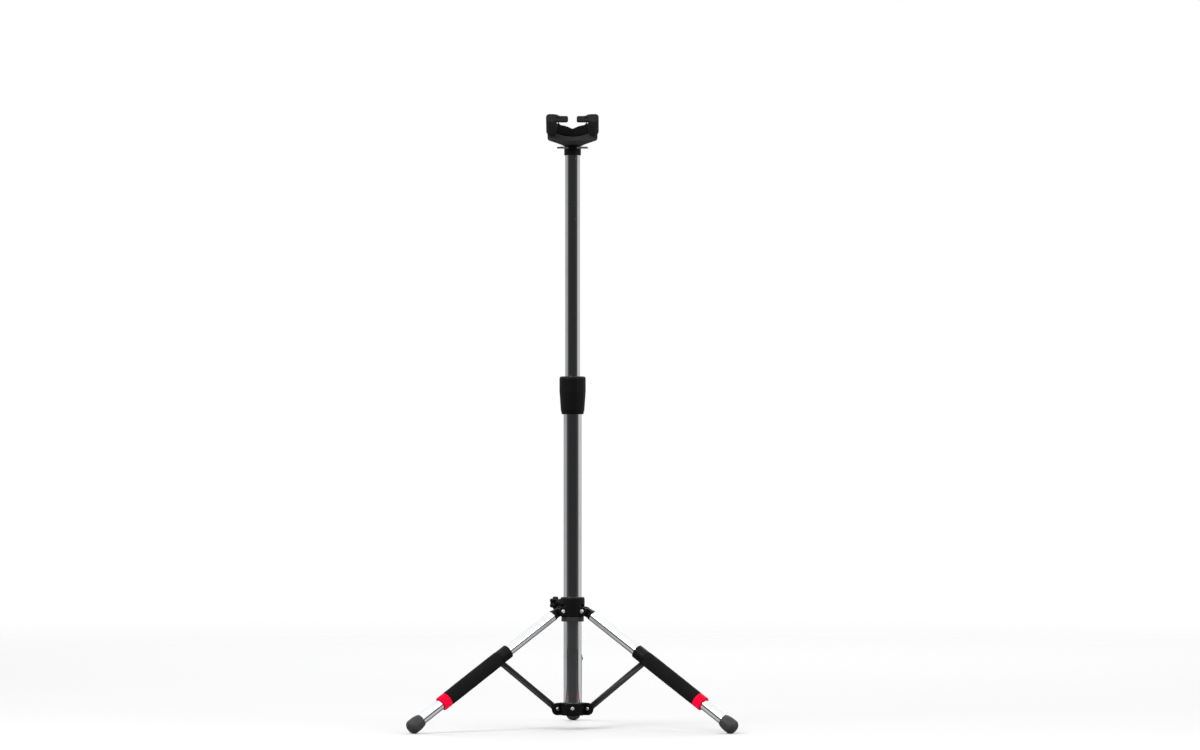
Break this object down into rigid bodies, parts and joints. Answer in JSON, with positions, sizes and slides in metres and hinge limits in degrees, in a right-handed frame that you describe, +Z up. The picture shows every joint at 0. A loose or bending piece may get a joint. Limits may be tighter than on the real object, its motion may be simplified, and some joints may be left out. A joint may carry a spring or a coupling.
{
  "type": "cello stand",
  "caption": "Folding tripod floor stand for a cello with a telescopic post, a self-closing neck yoke, foam-sleeved front legs and a bar that holds the bow.",
  "frame": {"origin": "centre of the stand's outline on the floor; the post's axis is 85.1 mm in front of it, towards -Y", "axes": "+Z up along the post, -Y towards the player's side where the yoke opens, +X to the right seen from the front"},
  "size_m": [0.621, 0.542, 1.161],
  "materials": {
    "chrome": "polished",
    "black_plastic": "satin",
    "black_steel": "satin",
    "foam": "matte",
    "red_plastic": "satin",
    "rubber": "matte",
    "spring_steel": "bright"
  },
  "bodies": {
    "post": {"main_tube": "chrome", "base_hub": "black_plastic", "hub_rivet": "chrome", "base_plug": "black_plastic", "stop_ring": "black_steel", "brace_pin_left": "chrome", "brace_pin_right": "chrome", "brace_pin_rear": "chrome", "clutch_body": "black_plastic", "clutch_bush": "rubber", "grip_spring": "spring_steel", "lever_pin": "chrome"},
    "grip_plate": {"grip_plate": "black_steel"},
    "clutch_lever": {"clutch_lever": "black_plastic"},
    "brace_left": {"brace_left": "black_steel"},
    "brace_right": {"brace_right": "black_steel"},
    "brace_rear": {"brace_rear": "black_steel"},
    "sliding_hub": {"leg_hub": "black_plastic", "leg_pin_left": "chrome", "leg_pin_right": "chrome", "leg_pin_rear": "chrome"},
    "hub_knob": {"hub_knob": "black_plastic", "knob_screw": "chrome"},
    "inner_post": {"inner_tube": "chrome", "inner_guide": "black_plastic", "yoke_collar": "black_plastic", "bow_bar": "chrome", "return_spring": "spring_steel"},
    "yoke_head": {"yoke_housing": "black_plastic", "saddle_pad": "rubber", "arm_core_left": "chrome", "arm_core_right": "chrome", "arm_sleeve_left": "rubber", "arm_sleeve_right": "rubber"},
    "gate_left": {"gate_left": "rubber", "gate_shaft_left": "chrome"},
    "gate_right": {"gate_right": "rubber", "gate_shaft_right": "chrome"},
    "leg_left": {"leg_tube_left": "chrome", "leg_knuckle_left": "black_plastic", "brace_bracket_left": "black_plastic", "bracket_rivet_left": "chrome", "foot_left": "rubber", "leg_grip_left": "foam", "leg_ring_left": "red_plastic"},
    "leg_right": {"leg_tube_right": "chrome", "leg_knuckle_right": "black_plastic", "brace_bracket_right": "black_plastic", "bracket_rivet_right": "chrome", "foot_right": "rubber", "leg_grip_right": "foam", "leg_ring_right": "red_plastic"},
    "leg_rear": {"leg_tube_rear": "chrome", "leg_knuckle_rear": "black_plastic", "brace_bracket_rear": "black_plastic", "bracket_rivet_rear": "chrome", "foot_rear": "rubber"}
  },
  "joints": [
    {"name": "tripod_fold", "type": "hinge", "parent": "post", "child": "brace_rear", "pos_m": [0, -0.05914, 0.038], "axis": [1, 0, 0], "range_deg": [0, 53]},
    {"name": "leg_rear_fold", "type": "hinge", "parent": "brace_rear", "child": "leg_rear", "pos_m": [0, 0.06417, 0.13059], "axis": [1, 0, 0], "range_deg": [-106, 0]},
    {"name": "sliding_hub_turn", "type": "hinge", "parent": "leg_rear", "child": "sliding_hub", "pos_m": [0, -0.05914, 0.22317], "axis": [1, 0, 0], "range_deg": [0, 53]},
    {"name": "brace_left_fold", "type": "hinge", "parent": "post", "child": "brace_left", "pos_m": [-0.02252, -0.09814, 0.038], "axis": [-0.5, 0.866, 0], "range_deg": [0, 53]},
    {"name": "leg_left_fold", "type": "hinge", "parent": "brace_left", "child": "leg_left", "pos_m": [-0.12931, -0.15979, 0.13059], "axis": [-0.5, 0.866, 0], "range_deg": [-106, 0]},
    {"name": "brace_right_fold", "type": "hinge", "parent": "post", "child": "brace_right", "pos_m": [0.02252, -0.09814, 0.038], "axis": [-0.5, -0.866, 0], "range_deg": [0, 53]},
    {"name": "leg_right_fold", "type": "hinge", "parent": "brace_right", "child": "leg_right", "pos_m": [0.12931, -0.15979, 0.13059], "axis": [-0.5, -0.866, 0], "range_deg": [-106, 0]},
    {"name": "hub_knob_turn", "type": "hinge", "parent": "sliding_hub", "child": "hub_knob", "pos_m": [-0.03031, -0.06764, 0.23817], "axis": [-0.866, 0.5, 0], "range_deg": [0, 360]},
    {"name": "height_slide", "type": "slide", "parent": "post", "child": "inner_post", "axis": [0, 0, 1], "range_m": [-0.26, 0]},
    {"name": "clutch_lever_squeeze", "type": "hinge", "parent": "post", "child": "clutch_lever", "pos_m": [0, -0.05414, 0.655], "axis": [-1, 0, 0], "range_deg": [0, 12], "stiffness_Nm_per_rad": 1, "springref_deg": -20.05},
    {"name": "grip_plate_tilt", "type": "hinge", "parent": "post", "child": "grip_plate", "pos_m": [0, -0.10414, 0.648], "axis": [1, 0, 0], "range_deg": [0, 3.6]},
    {"name": "yoke_drop", "type": "slide", "parent": "inner_post", "child": "yoke_head", "axis": [0, 0, 1], "range_m": [0, 0.012], "stiffness_N_per_m": 750, "springref_m": 0.02, "deforming": ["return_spring"]},
    {"name": "gate_left_turn", "type": "hinge", "parent": "yoke_head", "child": "gate_left", "pos_m": [-0.03945, -0.19514, 1.152], "axis": [0, -0.9397, 0.342], "range_deg": [0, 90.1]},
    {"name": "gate_right_turn", "type": "hinge", "parent": "yoke_head", "child": "gate_right", "pos_m": [0.03945, -0.19514, 1.152], "axis": [0, -0.9397, 0.342], "range_deg": [-90.1, 0]}
  ],
  "couplings": [
    {"joint": "leg_rear_fold", "follows": "tripod_fold", "ratio": -2},
    {"joint": "sliding_hub_turn", "follows": "tripod_fold", "ratio": 1},
    {"joint": "brace_left_fold", "follows": "tripod_fold", "ratio": 1},
    {"joint": "leg_left_fold", "follows": "tripod_fold", "ratio": -2},
    {"joint": "brace_right_fold", "follows": "tripod_fold", "ratio": 1},
    {"joint": "leg_right_fold", "follows": "tripod_fold", "ratio": -2},
    {"joint": "grip_plate_tilt", "follows": "clutch_lever_squeeze", "ratio": 0.2917},
    {"joint": "gate_left_turn", "follows": "yoke_drop", "rad_per_m": 130.9},
    {"joint": "gate_right_turn", "follows": "yoke_drop", "rad_per_m": -130.9}
  ]
}
